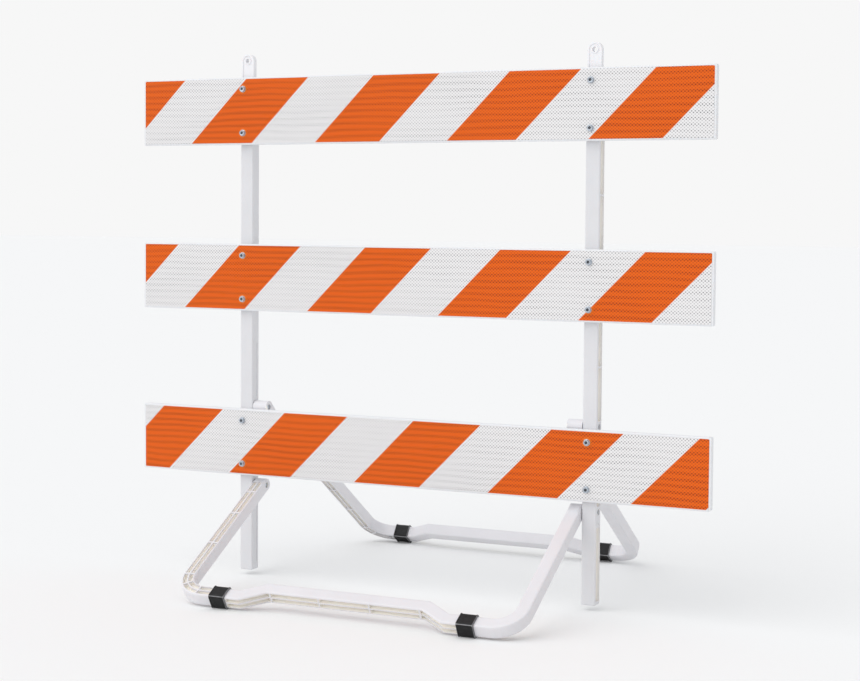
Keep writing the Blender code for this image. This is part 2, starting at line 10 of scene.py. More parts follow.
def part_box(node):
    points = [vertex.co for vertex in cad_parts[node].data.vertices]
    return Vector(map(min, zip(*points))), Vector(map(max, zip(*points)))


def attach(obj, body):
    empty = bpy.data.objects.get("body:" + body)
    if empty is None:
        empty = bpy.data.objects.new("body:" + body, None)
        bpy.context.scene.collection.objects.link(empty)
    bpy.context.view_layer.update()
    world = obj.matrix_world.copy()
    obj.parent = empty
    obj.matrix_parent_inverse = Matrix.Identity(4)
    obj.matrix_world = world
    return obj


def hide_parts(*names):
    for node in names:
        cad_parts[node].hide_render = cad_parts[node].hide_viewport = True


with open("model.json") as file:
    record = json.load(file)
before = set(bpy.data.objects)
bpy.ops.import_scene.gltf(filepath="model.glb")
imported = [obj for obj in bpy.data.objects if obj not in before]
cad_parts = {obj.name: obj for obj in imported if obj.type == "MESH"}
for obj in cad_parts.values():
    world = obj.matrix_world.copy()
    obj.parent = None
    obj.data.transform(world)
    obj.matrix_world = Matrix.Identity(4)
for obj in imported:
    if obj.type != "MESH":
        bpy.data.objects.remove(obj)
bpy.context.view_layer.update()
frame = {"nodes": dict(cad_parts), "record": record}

scene = bpy.context.scene
print("frame loaded:", len(frame["nodes"]), "nodes")


# small tools for meshes

weldGap = 1e-6   # points of one piece closer than this become one


def newPiece(name, shape, body, stands, smooth):
    # smooth is the sharpest angle, in degrees, that is still shaded as round
    verts, faces = shape
    mesh = bpy.data.meshes.new(name)
    mesh.from_pydata([tuple(v) for v in verts], [], faces)
    mesh.validate()
    shaper = bmesh.new()
    shaper.from_mesh(mesh)
    bmesh.ops.remove_doubles(shaper, verts=shaper.verts, dist=weldGap)
    bmesh.ops.recalc_face_normals(shaper, faces=shaper.faces)
    limit = math.radians(smooth)
    for face in shaper.faces:
        face.smooth = True
    for edge in shaper.edges:
        edge.smooth = len(edge.link_faces) == 2 and edge.calc_face_angle(0.0) < limit
    shaper.to_mesh(mesh)
    shaper.free()
    piece = bpy.data.objects.new(name, mesh)
    scene.collection.objects.link(piece)
    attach(piece, body)
    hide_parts(*stands)
    return piece


def joinRings(rings, closeStart=False, closeEnd=False):
    # rings of equal length become a skin of quads
    count = len(rings[0])
    verts = [p for ring in rings for p in ring]
    faces = []
    for r in range(len(rings) - 1):
        here, there = r * count, (r + 1) * count
        for i in range(count):
            j = (i + 1) % count
            faces.append((here + i, here + j, there + j, there + i))
    if closeStart:
        faces.append(tuple(range(count)))
    if closeEnd:
        faces.append(tuple((len(rings) - 1) * count + i for i in range(count)))
    return verts, faces


def mergeParts(*parts):
    verts, faces = [], []
    for v, f in parts:
        base = len(verts)
        verts += v
        faces += [tuple(base + i for i in face) for face in f]
    return verts, faces


def middleOf(name):
    low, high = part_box(name)
    return [(a + b) / 2 for a, b in zip(low, high)]


# small tools for materials

noiseSpan = (0.3, 0.7)   # a noise seldom leaves this span


class Shader:
    # one material with its Principled node, and short ways to add and join nodes

    def __init__(self, name, color, roughness, metallic=0.0):
        self.material = bpy.data.materials.new(name)
        self.material.use_nodes = True
        self.tree = self.material.node_tree
        self.tree.nodes.clear()
        out = self.tree.nodes.new("ShaderNodeOutputMaterial")
        self.main = self.tree.nodes.new("ShaderNodeBsdfPrincipled")
        self.tree.links.new(self.main.outputs[0], out.inputs[0])
        self.plainRoughness = roughness
        self.fix("Base Color", (*color, 1.0))
        self.fix("Roughness", roughness)
        self.fix("Metallic", metallic)
        self.coords = self.tree.nodes.new("ShaderNodeTexCoord").outputs["Object"]

    def fix(self, socketName, value):
        self.main.inputs[socketName].default_value = value

    def put(self, target, value):
        if isinstance(value, bpy.types.NodeSocket):
            self.tree.links.new(value, target)
        elif isinstance(value, (tuple, list)) and len(value) == 3 and target.type == "RGBA":
            target.default_value = (*value, 1.0)
        else:
            target.default_value = value

    def calc(self, operation, a, b=0.0, c=0.0):
        node = self.tree.nodes.new("ShaderNodeMath")
        node.operation = operation
        for socket, value in zip(node.inputs, (a, b, c)):
            self.put(socket, value)
        return node.outputs[0]

    def add(self, a, b):
        return self.calc("ADD", a, b)

    def subtract(self, a, b):
        return self.calc("SUBTRACT", a, b)

    def times(self, a, b):
        return self.calc("MULTIPLY", a, b)

    def away(self, value, middle):
        return self.calc("ABSOLUTE", self.subtract(value, middle))

    def length(self, a, b):
        squares = self.add(self.calc("POWER", a, 2.0), self.calc("POWER", b, 2.0))
        return self.calc("SQRT", squares)

    def turned(self, a, b, angle):
        # the same place along two axes that are turned by an angle
        cosine, sine = math.cos(angle), math.sin(angle)
        along = self.add(self.times(a, cosine), self.times(b, sine))
        beside = self.subtract(self.times(b, cosine), self.times(a, sine))
        return along, beside

    def allOf(self, *tests):
        # each test is (LESS_THAN or GREATER_THAN, value, limit)
        passed = self.calc(*tests[0])
        for test in tests[1:]:
            passed = self.times(passed, self.calc(*test))
        return passed

    def axes(self):
        node = self.tree.nodes.new("ShaderNodeSeparateXYZ")
        self.put(node.inputs[0], self.coords)
        return node.outputs

    def noise(self, scale, detail, rough=0.5, stretch=None):
        node = self.tree.nodes.new("ShaderNodeTexNoise")
        source = self.coords
        if stretch:
            mapping = self.tree.nodes.new("ShaderNodeMapping")
            mapping.inputs["Scale"].default_value = stretch
            self.put(mapping.inputs["Vector"], source)
            source = mapping.outputs[0]
        self.put(node.inputs["Vector"], source)
        node.inputs["Scale"].default_value = scale
        node.inputs["Detail"].default_value = detail
        node.inputs["Roughness"].default_value = rough
        return node.outputs["Fac"]

    def ramp(self, value, low, high, start=0.0, end=1.0):
        node = self.tree.nodes.new("ShaderNodeMapRange")
        node.clamp = True
        sockets = ("Value", "From Min", "From Max", "To Min", "To Max")
        for name, item in zip(sockets, (value, low, high, start, end)):
            self.put(node.inputs[name], item)
        return node.outputs[0]

    def mix(self, factor, a, b):
        node = self.tree.nodes.new("ShaderNodeMix")
        node.data_type = "RGBA"
        self.put(node.inputs[0], factor)
        self.put(node.inputs[6], a)   # 6 and 7 are the two colours of a colour mix
        self.put(node.inputs[7], b)
        return node.outputs[2]

    def color(self, value):
        self.put(self.main.inputs["Base Color"], value)

    def roughen(self, noiseSize, spread):
        # roughness wanders below and above its plain value
        spots = self.noise(*noiseSize)
        low, high = (self.plainRoughness + s for s in spread)
        self.put(self.main.inputs["Roughness"], self.ramp(spots, *noiseSpan, low, high))

    def bump(self, height, strength, distance):
        node = self.tree.nodes.new("ShaderNodeBump")
        node.inputs["Strength"].default_value = strength
        node.inputs["Distance"].default_value = distance
        self.put(node.inputs["Height"], height)
        if self.main.inputs["Normal"].is_linked:
            self.put(node.inputs["Normal"], self.main.inputs["Normal"].links[0].from_socket)
        self.put(self.main.inputs["Normal"], node.outputs[0])


def dress(names, shader):
    for name in names:
        node = frame["nodes"][name]
        for slot in node.material_slots:
            slot.link = "OBJECT"
            slot.material = shader.material


# camera, floor and light

stage = {
    "cameraSpot": (2.2391, -4.8121, 1.1158),
    "cameraTurn": 24.9795,   # degrees towards -X
    "cameraDip": 2.7927,
    "cameraRoll": 0.4101,
    "lens": 74.24,
    "sensor": 36.0,
    "shift": (0.0, -0.0471),
    "clip": (0.05, 200.0),
    "floorHalf": 60.0,
    "floorColor": (0.897, 0.905, 0.903),
    "floorRoughness": 0.9,
    "floorShine": 0.1,
    "skyColor": (0.985, 0.985, 1.0),
    "skyLight": 0.80,
    "skySeen": 0.93,
    "keyPower": 1.15,
    "keySpread": 70.0,       # degrees, wide for soft shadows
    "keyTilt": 48.0,         # degrees from straight down
    "keyTurn": -38.0,
}


def aimCamera():
    turn, dip, roll = (math.radians(stage[k]) for k in ("cameraTurn", "cameraDip", "cameraRoll"))
    level = math.cos(dip)
    ahead = Vector((-math.sin(turn) * level, math.cos(turn) * level, -math.sin(dip)))
    right = Vector((math.cos(turn), math.sin(turn), 0.0))
    up = right.cross(ahead)
    tiltedRight = math.cos(roll) * right + math.sin(roll) * up
    tiltedUp = math.cos(roll) * up - math.sin(roll) * right
    data = bpy.data.cameras.new("camera")
    data.lens = stage["lens"]
    data.sensor_width = stage["sensor"]
    data.shift_x, data.shift_y = stage["shift"]
    data.clip_start, data.clip_end = stage["clip"]
    camera = bpy.data.objects.new("camera", data)
    facing = Matrix((tiltedRight, tiltedUp, -ahead)).transposed().to_4x4()
    camera.matrix_world = Matrix.Translation(stage["cameraSpot"]) @ facing
    scene.collection.objects.link(camera)
    scene.camera = camera


def layFloor():
    half = stage["floorHalf"]
    corners = [(-half, -half, 0), (half, -half, 0), (half, half, 0), (-half, half, 0)]
    mesh = bpy.data.meshes.new("floor")
    mesh.from_pydata(corners, [], [(0, 1, 2, 3)])
    floor = bpy.data.objects.new("floor", mesh)
    scene.collection.objects.link(floor)
    paint = Shader("floorPaint", stage["floorColor"], stage["floorRoughness"])
    paint.fix("Specular IOR Level", stage["floorShine"])
    mesh.materials.append(paint.material)


def lightRoom():
    world = bpy.data.worlds.new("softRoom")
    world.use_nodes = True
    tree = world.node_tree
    tree.nodes.clear()
    out = tree.nodes.new("ShaderNodeOutputWorld")
    seen = tree.nodes.new("ShaderNodeBackground")
    lit = tree.nodes.new("ShaderNodeBackground")
    path = tree.nodes.new("ShaderNodeLightPath")
    mix = tree.nodes.new("ShaderNodeMixShader")
    seen.inputs["Color"].default_value = (1.0, 1.0, 1.0, 1.0)
    seen.inputs["Strength"].default_value = stage["skySeen"]
    lit.inputs["Color"].default_value = (*stage["skyColor"], 1.0)
    lit.inputs["Strength"].default_value = stage["skyLight"]
    tree.links.new(path.outputs["Is Camera Ray"], mix.inputs[0])
    tree.links.new(lit.outputs[0], mix.inputs[1])
    tree.links.new(seen.outputs[0], mix.inputs[2])
    tree.links.new(mix.outputs[0], out.inputs[0])
    scene.world = world
    sun = bpy.data.lights.new("keySun", "SUN")
    sun.energy = stage["keyPower"]
    sun.angle = math.radians(stage["keySpread"])
    keySun = bpy.data.objects.new("keySun", sun)
    keySun.rotation_euler = (math.radians(stage["keyTilt"]), 0.0, math.radians(stage["keyTurn"]))
    scene.collection.objects.link(keySun)


aimCamera()
layFloor()
lightRoom()
scene.view_settings.view_transform = "Standard"
print("camera, floor and light ready")


# striped sheeting on the rails

sheeting = {
    "orange": (0.800, 0.125, 0.004),
    "orangeDeep": (0.160, 0.012, 0.003),
    # painted highlight: brighter orange in the ring round each bolt
    "orangePaintedHighlight": (0.950, 0.270, 0.020),
    "white": (0.83, 0.82, 0.82),
    "whiteDeep": (0.055, 0.060, 0.068),
    "seam": (0.84, 0.84, 0.85),
    "roughness": 0.32,
    "roughSpread": (-0.06, 0.06),
    "roughNoise": (140.0, 3.0),      # each noise is its scale and its detail
    "shine": 0.18,
    "coat": (0.06, 0.15),            # how much clear coat, and how rough it is
    "stripe": 0.2155,                # width of one stripe along the rail
    # where the first pair starts on the top edge, and whether its orange comes first
    "starts": {"top": (-0.7635, False), "middle": (-0.7879, False), "bottom": (-0.8425, True)},
    "seamWidth": 0.0022,
    "seamFade": (0.30, 0.55),        # where a seam starts to fade and ends, in its widths
    "seamShows": 0.6,
    "cell": (0.00985, 0.00890),      # pitch of the sealed diamonds, across and up
    "cellEdge": (-0.05, 0.80),       # where a diamond starts to darken and is full
    "bandPitch": 0.0182,             # wavy bands in which the diamonds show more
    "bandWave": 1.1,
    "bandEdge": (-0.5, 0.8),
    "bandNoise": (4.0, 2.0),
    "bandStretch": (1.0, 1.0, 2.2),
    "patchEdge": (0.36, 0.62, 0.45, 1.0),
    "patchNoise": (6.0, 2.0),
    "patchStretch": (0.6, 1.0, 1.6),
    "whiteDark": (0.40, 0.50),       # depth of the diamonds, and what a band adds to it
    "orangeDark": (0.40, 0.36),
    "orangeBand": 0.16,              # depth of a band between the diamonds
    "rippleNoise": (16.0, 2.0),
    "rippleBump": (0.12, 0.002),     # each bump is its strength and its height
    "halo": 0.0165,                  # pressed ring round each bolt, bumped in, with a painted highlight on the orange
    "haloInner": 0.55,
    "haloHighlightShows": 0.55,
    "haloBump": (0.30, 0.0008),
}


def stripeParts(shader, label, x, z, top):
    # whether a point is on orange, and how far it is from the nearest slanted edge
    start, orangeFirst = sheeting["starts"][label]
    pair = 2 * sheeting["stripe"]
    along = shader.subtract(shader.add(x, top), z)   # the stripes lean at 45 degrees
    pairs = shader.calc("DIVIDE", shader.subtract(along, start), pair)
    phase = shader.calc("FRACT", pairs)
    side = shader.subtract(0.5, phase) if orangeFirst else shader.subtract(phase, 0.5)
    ownEdge = shader.calc("PINGPONG", phase, 0.5)
    nextEdge = shader.calc("PINGPONG", shader.add(phase, 0.5), 0.5)
    edge = shader.calc("MINIMUM", ownEdge, nextEdge)
    return shader.calc("GREATER_THAN", side, 0.0), shader.times(edge, pair / math.sqrt(2))


def boltHalo(shader, label, x, z):
    # 1 at the rim of the nearest bolt, 0 past the pressed ring
    boltX, _, upper = middleOf("bolt_%s_upper_right" % label)
    lower = middleOf("bolt_%s_lower_right" % label)[2]
    dx = shader.subtract(shader.calc("ABSOLUTE", x), boltX)
    dz = shader.subtract(shader.away(z, (upper + lower) / 2), (upper - lower) / 2)
    halo = sheeting["halo"]
    return shader.ramp(shader.length(dx, dz), halo * sheeting["haloInner"], halo, 1.0, 0.0)


def diamondCells(shader, x, z):
    across, up = (2 * math.pi / pitch for pitch in sheeting["cell"])
    acrossWave = shader.calc("COSINE", shader.times(x, across))
    upWave = shader.calc("COSINE", shader.times(z, up))
    return shader.ramp(shader.times(acrossWave, upWave), *sheeting["cellEdge"])


def wavyBands(shader, z):
    # the bands, and the same bands broken up into patches
    wander = shader.noise(*sheeting["bandNoise"], stretch=sheeting["bandStretch"])
    level = shader.calc("DIVIDE", z, sheeting["bandPitch"])
    level = shader.add(level, shader.times(wander, sheeting["bandWave"]))
    wave = shader.calc("SINE", shader.times(level, 2 * math.pi))
    bands = shader.ramp(wave, *sheeting["bandEdge"])
    patches = shader.noise(*sheeting["patchNoise"], stretch=sheeting["patchStretch"])
    return bands, shader.times(bands, shader.ramp(patches, *sheeting["patchEdge"]))


def makeSheeting(label):
    name = "sheeting_" + label
    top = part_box(name)[1][2]
    shader = Shader("stripedSheeting_" + label, sheeting["white"], sheeting["roughness"])
    shader.fix("Coat Weight", sheeting["coat"][0])
    shader.fix("Coat Roughness", sheeting["coat"][1])
    shader.fix("Specular IOR Level", sheeting["shine"])
    x, _, z = shader.axes()
    cells = diamondCells(shader, x, z)
    bands, patchedBands = wavyBands(shader, z)

    least, more = sheeting["whiteDark"]
    whiteDepth = shader.times(cells, shader.calc("MULTIPLY_ADD", patchedBands, more, least))
    white = shader.mix(whiteDepth, sheeting["white"], sheeting["whiteDeep"])

    least, more = sheeting["orangeDark"]
    cellDepth = shader.times(cells, shader.calc("MULTIPLY_ADD", bands, more, least))
    orangeDepth = shader.calc("MULTIPLY_ADD", patchedBands, sheeting["orangeBand"], cellDepth)
    orange = shader.mix(orangeDepth, sheeting["orange"], sheeting["orangeDeep"])
    halo = boltHalo(shader, label, x, z)
    # painted highlight: the orange is brightened in a ring round each bolt
    haloHighlight = shader.times(halo, sheeting["haloHighlightShows"])
    orange = shader.mix(haloHighlight, orange, sheeting["orangePaintedHighlight"])

    isOrange, toEdge = stripeParts(shader, label, x, z, top)
    fadeFrom, fadeTo = (sheeting["seamWidth"] * k for k in sheeting["seamFade"])
    seam = shader.times(shader.ramp(toEdge, fadeFrom, fadeTo, 1.0, 0.0), sheeting["seamShows"])
    shader.color(shader.mix(seam, shader.mix(isOrange, white, orange), sheeting["seam"]))
    shader.roughen(sheeting["roughNoise"], sheeting["roughSpread"])
    shader.bump(shader.noise(*sheeting["rippleNoise"]), *sheeting["rippleBump"])
    shader.bump(halo, *sheeting["haloBump"])
    dress([name], shader)


for label in ("top", "middle", "bottom"):
    makeSheeting(label)
print("sheeting painted")


# moulded plastics

plastic = {
    "rail": (0.80, 0.81, 0.83),
    "upright": (0.725, 0.725, 0.745),
    # painted highlight: a paler tone on the top of each upright, round its tab
    "tab": (0.860, 0.855, 0.875),
    "leg": (0.775, 0.765, 0.790),
    # painted light: a pale tone in the pockets and channels that lifts their shade and stands in
    # for light through the walls
    "pocket": (0.975, 0.940, 0.880),
    "railRoughness": 0.38,
    "roughness": 0.46,               # of the uprights and legs
    "roughSpread": (-0.06, 0.08),
    "roughNoise": (60.0, 3.0),       # each noise is its scale, detail and own roughness
    "subsurface": 0.12,
    "subsurfaceRadius": (0.010, 0.008, 0.007),
    "cloudNoise": (7.0, 3.0, 0.55),
    "cloudEdge": (0.35, 0.7),
    "cloudTone": 0.955,
    "speckNoise": (260.0, 2.0, 0.6),
    "speckEdge": (0.62, 0.78),
    "speckTone": 0.80,
    "speckShows": 0.10,
    "grainNoise": (900.0, 2.0, 0.6),
    "grainBump": (0.18, 0.00025),
    "pebbleNoise": (260.0, 2.0, 0.5),
    "pebbleBump": (0.10, 0.0006),
}
uprightShape = {
    "pocketDeep": 0.0125,
    "pocketWall": 0.0046,
    "pocketLip": 0.0004,
    "pocketFoot": 0.006,             # solid stretch below the pocket
    "pocketHead": 0.0735,            # and above it
    "mouthLightShows": 0.25,              # how much of the painted pocket light is left at its mouth
    "tabFade": (0.090, 0.060),       # below the top, where the painted highlight on the tab starts and is full
}
legShape = {
    "tube": 0.039,
    "wall": 0.005,
    "bendInner": 0.051,
    "raise": 0.040,                  # the middle of the foot bar is raised by this
    "raiseHalf": 0.245,
    "kink": 0.071,
    "pocketSlack": (0.0003, 0.0006),
    "front": {"tilt": 61.08, "outer": 0.535, "offset": 0.0, "reach": 0.5151},
    "rear": {"tilt": 55.83, "outer": 0.4905, "offset": 0.0198, "reach": 0.8417},
}


def mouldedPlastic(name, color, roughness):
    shader = Shader(name, color, roughness)
    shader.fix("Subsurface Weight", plastic["subsurface"])
    shader.fix("Subsurface Radius", plastic["subsurfaceRadius"])
    cloudy = tuple(c * plastic["cloudTone"] for c in color)
    cloud = shader.ramp(shader.noise(*plastic["cloudNoise"]), *plastic["cloudEdge"])
    base = shader.mix(cloud, color, cloudy)
    speckled = tuple(c * plastic["speckTone"] for c in color)
    speck = shader.ramp(shader.noise(*plastic["speckNoise"]), *plastic["speckEdge"])
    base = shader.mix(shader.times(speck, plastic["speckShows"]), base, speckled)
    shader.roughen(plastic["roughNoise"], plastic["roughSpread"])
    shader.bump(shader.noise(*plastic["grainNoise"]), *plastic["grainBump"])
    shader.bump(shader.noise(*plastic["pebbleNoise"]), *plastic["pebbleBump"])
    return shader, base


def paintRails():
    shader, base = mouldedPlastic("railPlastic", plastic["rail"], plastic["railRoughness"])
    shader.color(base)
    dress([n for n in frame["nodes"] if n.startswith("board_")], shader)


def paintUprights():
    shader, base = mouldedPlastic("uprightPlastic", plastic["upright"], plastic["roughness"])
    low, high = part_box("upright_right")
    pocketFloor = high[0] - uprightShape["pocketDeep"]
    x, y, z = shader.axes()
    out = shader.calc("ABSOLUTE", x)
    across = shader.away(y, (low[1] + high[1]) / 2)
    inside = shader.allOf(
        ("LESS_THAN", across, (high[1] - low[1]) / 2 - uprightShape["pocketWall"]),
        ("LESS_THAN", out, high[0] - uprightShape["pocketLip"]),
        ("GREATER_THAN", out, pocketFloor),
        ("GREATER_THAN", z, low[2] + uprightShape["pocketFoot"]),
        ("LESS_THAN", z, high[2] - uprightShape["pocketHead"]),
    )
    # painted light: the pockets are painted paler to lift their shade, most at their floor
    depth = shader.ramp(out, pocketFloor, high[0], 1.0, uprightShape["mouthLightShows"])
    # painted highlight: the top of the upright, with its tab, is painted paler
    tab = shader.ramp(z, *(high[2] - below for below in uprightShape["tabFade"]))
    base = shader.mix(tab, base, plastic["tab"])
    shader.color(shader.mix(shader.times(inside, depth), base, plastic["pocket"]))
    dress(["upright_left", "upright_right"], shader)


def paintLeg(which):
    # painted light: the open channel inside the U-shaped leg is painted paler than its outside,
    # lifting its shade
    shape = legShape[which]
    half = legShape["tube"] / 2
    shader, base = mouldedPlastic(which + "LegPlastic", plastic["leg"], plastic["roughness"])
    joints = frame["record"]["behaviour"]["joints"]
    pivot = next(j for j in joints if j["name"] == which + "_leg_fold")["pos_m"]
    way = -1.0 if which == "front" else 1.0     # the front leg reaches towards -Y
    x, y, z = shader.axes()
    reached = shader.times(shader.subtract(y, pivot[1]), way)
    dropped = shader.subtract(pivot[2], z)
    tilt = math.radians(shape["tilt"])
    down, under = shader.turned(reached, dropped, math.pi / 2 - tilt)

    # how far a point is from the tube's middle line, which has a round bend
    across = shader.calc("ABSOLUTE", x)
    raiseEnd = legShape["raiseHalf"] + legShape["kink"]
    lift = shader.ramp(across, legShape["raiseHalf"], raiseEnd, legShape["raise"], 0.0)
    bend = legShape["bendInner"] + half
    pastSide = shader.subtract(across, shape["outer"] - half - bend)
    pastFoot = shader.subtract(shader.add(down, lift), shape["reach"] - bend)
    clear = shader.calc("MINIMUM", shader.calc("MAXIMUM", pastSide, pastFoot), 0.0)
    corner = shader.length(
        shader.calc("MAXIMUM", pastSide, 0.0),
        shader.calc("MAXIMUM", pastFoot, 0.0),
    )
    fromLine = shader.away(shader.add(corner, clear), bend)

    depthSlack, widthSlack = legShape["pocketSlack"]
    inside = shader.allOf(
        ("LESS_THAN", shader.away(under, shape["offset"]), half - legShape["wall"] + depthSlack),
        ("LESS_THAN", fromLine, half - widthSlack),
    )
    shader.color(shader.mix(inside, base, plastic["pocket"]))
    dress(["leg_" + which], shader)


paintRails()
paintUprights()
paintLeg("front")
paintLeg("rear")
print("plastic painted")


# rubber sleeves

sleeve = {
    "color": (0.0045, 0.0045, 0.0050),
    "dust": (0.012, 0.012, 0.013),
    # painted highlight colour for the corner and rim lines
    "edge": (0.27, 0.27, 0.28),
    "roughness": 0.45,
    "roughSpread": (-0.03, 0.13),
    "roughNoise": (240.0, 3.0),      # each noise is its scale and its detail
    "shine": 0.30,
    "dustNoise": (90.0, 3.0),
    "dustEdge": (0.35, 0.75),
    "edgeHighlight": (0.46, 0.37),          # where the painted highlight line starts and is full, in corner radii
    "rimHighlight": (0.0022, 0.0012),   # the same for a rim, from the end of the sleeve
    "rimHighlightShows": 0.75,
    "highlightNoise": (70.0, 2.0),
    "highlightPatch": (0.3, 0.6, 0.55, 1.0),
    "skinNoise": (1100.0, 2.0),
    "skinBump": (0.25, 0.0002),
    "gap": 0.0003,                   # between the tube and the bore
    "wall": 0.0041,
    "length": 0.050,
    "corner": 0.0082,
    "boreCorner": 0.0048,
    "cornerSteps": 6,
    "flat": 0.0012,                  # flat stretch beside a corner, keeps the painted highlight line narrow
    "rim": 0.0010,
    # distance from the end, and how much of the rim's height stands there
    "rimSteps": (
        (0.0, 0.2), (0.0008, 1.0), (0.0018, 1.0), (0.0032, 1.0),
        (0.0040, 0.1), (0.0050, 0.0), (0.0062, 0.0),
    ),
    "middleRings": (-0.4, 0.0, 0.4),
    "smooth": 50,
}


def roundedSquare(half, radius):
    points = []
    steps, flat = sleeve["cornerSteps"], sleeve["flat"]
    for cx, cy, start in ((1, 1, 0), (-1, 1, 90), (-1, -1, 180), (1, -1, 270)):
        arc = []
        for i in range(steps + 1):
            a = math.radians(start + 90 * i / steps)
            x = cx * (half - radius) + radius * math.cos(a)
            y = cy * (half - radius) + radius * math.sin(a)
            arc.append((x, y))
        first, last = math.radians(start), math.radians(start + 90)
        points.append((arc[0][0] + flat * math.sin(first), arc[0][1] - flat * math.cos(first)))
        points += arc
        points.append((arc[-1][0] - flat * math.sin(last), arc[-1][1] + flat * math.cos(last)))
    return points


def sleevePlace(which, side):
    tilt = math.radians(legShape[which]["tilt"]) * (-1 if which == "front" else 1)
    return middleOf("foot_%s_%s" % (which, side)), tilt


def rubberFinish(which):
    # painted highlight: the four corners and both rims of a sleeve are painted paler than its
    # faces
    shader = Shader(which + "Rubber", sleeve["color"], sleeve["roughness"])
    shader.fix("Specular IOR Level", sleeve["shine"])
    dust = shader.ramp(shader.noise(*sleeve["dustNoise"]), *sleeve["dustEdge"])
    dusty = shader.mix(dust, sleeve["color"], sleeve["dust"])

    centre, tilt = sleevePlace(which, "right")
    x, y, z = shader.axes()
    dy, dz = shader.subtract(y, centre[1]), shader.subtract(z, centre[2])
    a, b = (shader.calc("ABSOLUTE", side) for side in shader.turned(dy, dz, tilt))
    outer = legShape["tube"] / 2 + sleeve["wall"]
    edges = (outer - sleeve["corner"] * k for k in sleeve["edgeHighlight"])
    corners = shader.ramp(shader.calc("MINIMUM", a, b), *edges)

    fromCentre = shader.away(shader.calc("ABSOLUTE", x), abs(centre[0]))
    rimEdges = (sleeve["length"] / 2 - k for k in sleeve["rimHighlight"])
    rims = shader.ramp(fromCentre, *rimEdges, 0.0, sleeve["rimHighlightShows"])
    patch = shader.ramp(shader.noise(*sleeve["highlightNoise"]), *sleeve["highlightPatch"])
    edgeHighlight = shader.times(shader.calc("MAXIMUM", corners, rims), patch)
    shader.color(shader.mix(edgeHighlight, dusty, sleeve["edge"]))
    shader.roughen(sleeve["roughNoise"], sleeve["roughSpread"])
    shader.bump(shader.noise(*sleeve["skinNoise"]), *sleeve["skinBump"])
    return shader


def makeSleeve(which, side, shader):
    centre, tilt = sleevePlace(which, side)
    half, end = legShape["tube"] / 2, sleeve["length"] / 2
    outer, inner = half + sleeve["wall"], half + sleeve["gap"]
    corner = sleeve["corner"]
    # each station is a place along the sleeve, a half width and a corner radius
    stations = [(-end, inner, sleeve["boreCorner"])]
    for fromEnd, share in sleeve["rimSteps"]:
        stations.append((-end + fromEnd, outer + sleeve["rim"] * share, corner))
    farEnd = [(-s, h, r) for s, h, r in reversed(stations)]
    stations += [(end * k, outer, corner) for k in sleeve["middleRings"]] + farEnd
    rings = []
    for s, h, r in stations:
        ring = []
        for a, b in roundedSquare(h, r):
            y = a * math.cos(tilt) - b * math.sin(tilt)
            z = a * math.sin(tilt) + b * math.cos(tilt)
            ring.append((centre[0] + s, centre[1] + y, centre[2] + z))
        rings.append(ring)
    rings.append(rings[0])   # back through the bore, so the sleeve is one closed skin
    key = "%s_%s" % (which, side)
    shape = joinRings(rings)
    stands = ["foot_" + key]
    piece = newPiece("sleeve_" + key, shape, which + "_leg", stands, sleeve["smooth"])
    piece.data.materials.append(shader.material)


for which in ("front", "rear"):
    rubber = rubberFinish(which)
    for side in ("left", "right"):
        makeSleeve(which, side, rubber)
print("sleeves made")


# bolts, nuts and pins

hardware = {
    "color": (0.58, 0.63, 0.69),
    "worn": (0.36, 0.40, 0.45),
    # painted shade for the dish in each bolt head, and its worn tone
    "dishShadeColor": (0.150, 0.160, 0.180),
    "dishShadeWorn": (0.050, 0.054, 0.062),
    "roughness": 0.30,
    "roughSpread": (-0.14, 0.04),
    "roughNoise": (800.0, 2.0),
    "wearNoise": (420.0, 3.0, 0.6),
    "wearEdge": (0.35, 0.7),
    "wearBump": (0.12, 0.0001),
    "hexFlats": 0.0160,
    "flange": 0.0194,
    "nutFlats": 0.0130,
    "nutFlange": 0.0177,
    "flangeEdge": 0.0013,            # height of a flange at its edge
    "flangeDrop": 0.0004,
    "soften": 0.0003,                # small rounding of edges
    "boltNeck": 0.0002,              # how far the bolt's flange reaches past the corners
    "neckTop": 0.0021,
    "hexFoot": 0.0023,
    "crown": ((0.0011, 0.0), (0.0005, 0.0006), (0.0, 0.0014)),   # below the top, off the corners
    "dish": 0.0042,
    "dishDepth": 0.0024,
    "dishLip": 0.0008,
    "dishTaper": 0.62,
    "dishCentre": 0.0009,
    "dishShadeSpan": (0.98, 0.003),       # the painted shade on the dish floor: share of the radius, least height
    "shank": 0.0080,
    "tip": 0.0008,
    "thread": 0.0152,                # length of the threaded stretch
    "threadPitch": 0.00125,
    "threadDepth": 0.00055,
    "threadSteps": 4,                # rings in one turn of the thread
    "threadFade": 3,                 # rings over which the thread runs out
    "boreGap": 0.0002,
    "boreChamfer": 0.0007,
    "boltTurn": 0.37,                # each bolt is turned this much past the last one
    "nutTurn": 0.5,
    "around": 60,
    "smooth": 28,
}


def steelFinish(name, color, worn):
    shader = Shader(name, color, hardware["roughness"], 1.0)
    wear = shader.noise(*hardware["wearNoise"])
    shader.color(shader.mix(shader.ramp(wear, *hardware["wearEdge"]), color, worn))
    shader.roughen(hardware["roughNoise"], hardware["roughSpread"])
    shader.bump(wear, *hardware["wearBump"])
    return shader


def latheRing(radius, height, around):
    # the radius is a number, or a function of the angle
    ring = []
    for i in range(around):
        a = 2 * math.pi * i / around
        r = radius(a) if callable(radius) else radius
        ring.append((r * math.cos(a), r * math.sin(a), height))
    return ring


def latheRings(profile, around):
    return [latheRing(radius, height, around) for height, radius in profile]


def hexBand(flats, limit):
    # a hexagon whose corners are cut off by a circle
    def radiusAt(angle):
        turn = angle % (math.pi / 3) - math.pi / 6
        return min(flats / 2 / math.cos(turn), limit)
    return radiusAt


